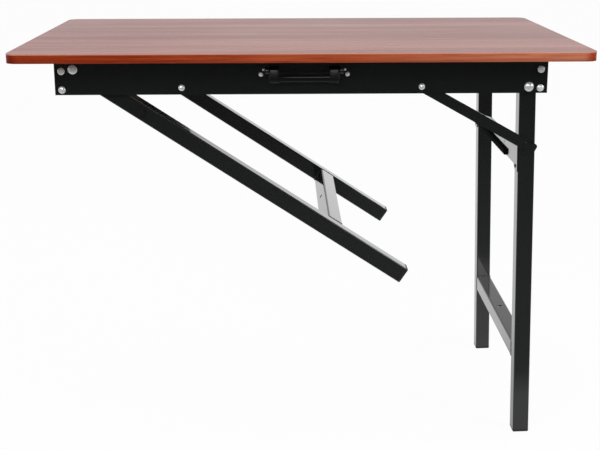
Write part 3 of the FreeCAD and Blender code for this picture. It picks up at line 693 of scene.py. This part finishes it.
# what glossy faces see: levels of light, and the heights or depths between which they change
sky = {"front": 0.10, "horizon": 1.0, "horizonTurn": (-0.9, 0.3),
       "raisedShare": 0.50, "raisedTurn": (0.04, 0.24),
       "ceiling": 1.0, "frontCeiling": 0.35, "ceilingTurn": (-0.7, 0.0),
       "overheadTurn": (0.35, 0.95),
       "box": 3.5, "boxRise": (0.20, 0.26), "boxTop": (0.50, 0.60), "boxSide": (0.15, 0.22),
       "boxBack": (-0.8, -0.5)}


def makeWorld():
    # white to the camera; in reflections dim behind the camera, bright behind and beside the table
    world = bpy.data.worlds.new("studio")
    world.use_nodes = True
    room = Graph(world.node_tree)
    way = room.add("TexCoord", output="Generated")
    across, forward, up = (room.add("SeparateXYZ", output=letter, vector=way) for letter in "XYZ")
    back = forward.step(*sky["horizonTurn"]) * (sky["horizon"] - sky["front"]) + sky["front"]
    raised = up.step(*sky["raisedTurn"])
    box = up.step(*sky["boxRise"]) * (1 - up.step(*sky["boxTop"]))
    box = box * (1 - forward.step(*sky["boxBack"]))
    box = box * (1 - across.calc("ABSOLUTE").step(*sky["boxSide"]))
    level = back * (1 - raised) + back * raised * sky["raisedShare"] + box * sky["box"]
    overhead = up.step(*sky["overheadTurn"])
    ceiling = forward.step(*sky["ceilingTurn"]) * (sky["ceiling"] - sky["frontCeiling"])
    unseen = level * (1 - overhead) + overhead * (ceiling + sky["frontCeiling"])
    camera = room.add("LightPath", output="Is Camera Ray")
    light = room.add("Background", color=(1, 1, 1), strength=unseen * (1 - camera) + camera)
    out = room.tree.nodes.new("ShaderNodeOutputWorld")
    room.tree.links.new(light.socket, out.inputs["Surface"])
    scene.world = world


floorLook = {"half": 30, "colour": (0.82, 0.82, 0.82), "rough": 0.9, "whiteShare": 0.95,
             "sweep": ((-4.5, 0.03), (-2.0, 0.10), (-1.0, 0.145), (-0.50, 0.17), (-0.38, 0.50),
                       (-0.05, 0.50), (0.10, 0.53), (0.31, 0.70), (0.60, 0.74), (1.6, 0.80))}


def makeFloor():
    # white to the camera with the table's shadow, and in reflections dark towards the camera
    half = floorLook["half"]
    corners = [(-half, -half, 0), (half, -half, 0), (half, half, 0), (-half, half, 0)]
    data = bpy.data.meshes.new("floor")
    data.from_pydata(corners, [], [(0, 1, 2, 3)])
    floor = bpy.data.objects.new("floor", data)
    scene.collection.objects.link(floor)
    look = Finish("floorSheet", baseColor=floorLook["colour"], roughness=floorLook["rough"])
    camera = look.add("LightPath", output="Is Camera Ray")
    glossy = look.add("LightPath", output="Is Glossy Ray")
    near, far = floorLook["sweep"][0][0], floorLook["sweep"][-1][0]
    share = (look.along("Y") - near) / (far - near)
    stops = [((y - near) / (far - near), (level,) * 3) for y, level in floorLook["sweep"]]
    sweep = look.add("Emission", color=look.ramp(share, *stops), strength=1)
    white = look.add("Emission", color=(1, 1, 1), strength=1)
    sheet = Link(look.tree, look.shader.outputs[0])
    lit = look.add("MixShader", i0=camera * floorLook["whiteShare"], i1=sheet, i2=white)
    both = look.add("MixShader", i0=glossy, i1=lit, i2=sweep)
    look.tree.links.new(both.socket, look.out.inputs["Surface"])
    data.materials.append(look.material)


lamps = {"keySoftbox": {"place": (-1.1, -2.4, 2.1), "aim": (0, 0, 0.6), "size": (1.4, 1.0),
                        "power": 48},
         "fillSoftbox": {"place": (2.4, -1.2, 1.8), "aim": (0, 0, 0.5), "size": (1.4, 1.4),
                         "power": 24}}


def makeLamps():
    for name, look in lamps.items():
        data = bpy.data.lights.new(name, "AREA")
        data.shape, data.energy = "RECTANGLE", look["power"]
        data.size, data.size_y = look["size"]
        way = Vector(look["aim"]) - Vector(look["place"])
        lamp = bpy.data.objects.new(name, data)
        lamp.location = look["place"]
        lamp.rotation_euler = way.to_track_quat("-Z", "Y").to_euler()
        scene.collection.objects.link(lamp)


makeWorld()
makeFloor()
makeLamps()
scene.view_settings.view_transform = "Standard"
print("studio lit")
